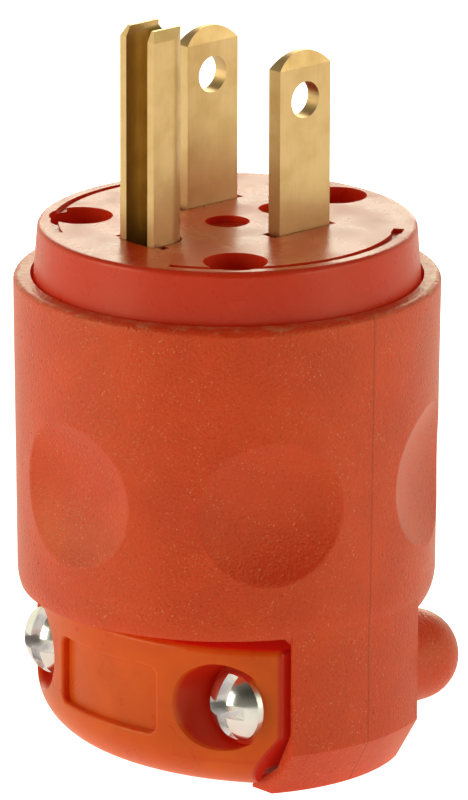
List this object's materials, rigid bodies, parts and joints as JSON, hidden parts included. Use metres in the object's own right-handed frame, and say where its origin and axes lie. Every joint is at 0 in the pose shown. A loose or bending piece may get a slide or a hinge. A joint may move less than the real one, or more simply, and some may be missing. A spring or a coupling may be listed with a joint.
{
  "type": "type b plug",
  "caption": "Round rewireable grounding plug with flat blades, a folded ground pin, a dimpled grip and an arched cord clamp.",
  "frame": {"origin": "centre of the flat bottom, on the axis of the round body", "axes": "+Z along the blades, out of the face; the cord clamp and the ground pin are on the -Y side; +X towards the neutral blade"},
  "size_m": [0.0401, 0.04, 0.0712],
  "materials": {
    "housing": "fine moulded grain",
    "carrier": "semi-gloss moulded",
    "clamp": "smooth moulded",
    "block": "moulded",
    "blade_brass": "rolled and stamped",
    "pin_brass": "rolled and folded",
    "insert_brass": "turned",
    "terminal_brass": "headed",
    "terminal_steel": "plated",
    "terminal_green": "dyed",
    "screw_steel": "plated and headed"
  },
  "bodies": {
    "root": {"outer_housing": "housing", "blade_carrier": "carrier", "terminal_block": "block", "neutral_blade": "blade_brass", "hot_blade": "blade_brass", "ground_pin": "pin_brass", "cord_clamp": "clamp", "neutral_wire_clamp": "terminal_steel", "hot_wire_clamp": "terminal_steel", "ground_wire_clamp": "terminal_steel", "neutral_terminal_screw": "terminal_steel", "hot_terminal_screw": "terminal_brass", "ground_terminal_screw": "terminal_green", "assembly_screw_left": "screw_steel", "assembly_screw_right": "screw_steel", "assembly_screw_rear": "screw_steel", "clamp_screw_left": "screw_steel", "clamp_screw_right": "screw_steel", "clamp_insert_left": "insert_brass", "clamp_insert_right": "insert_brass"}
  },
  "joints": []
}
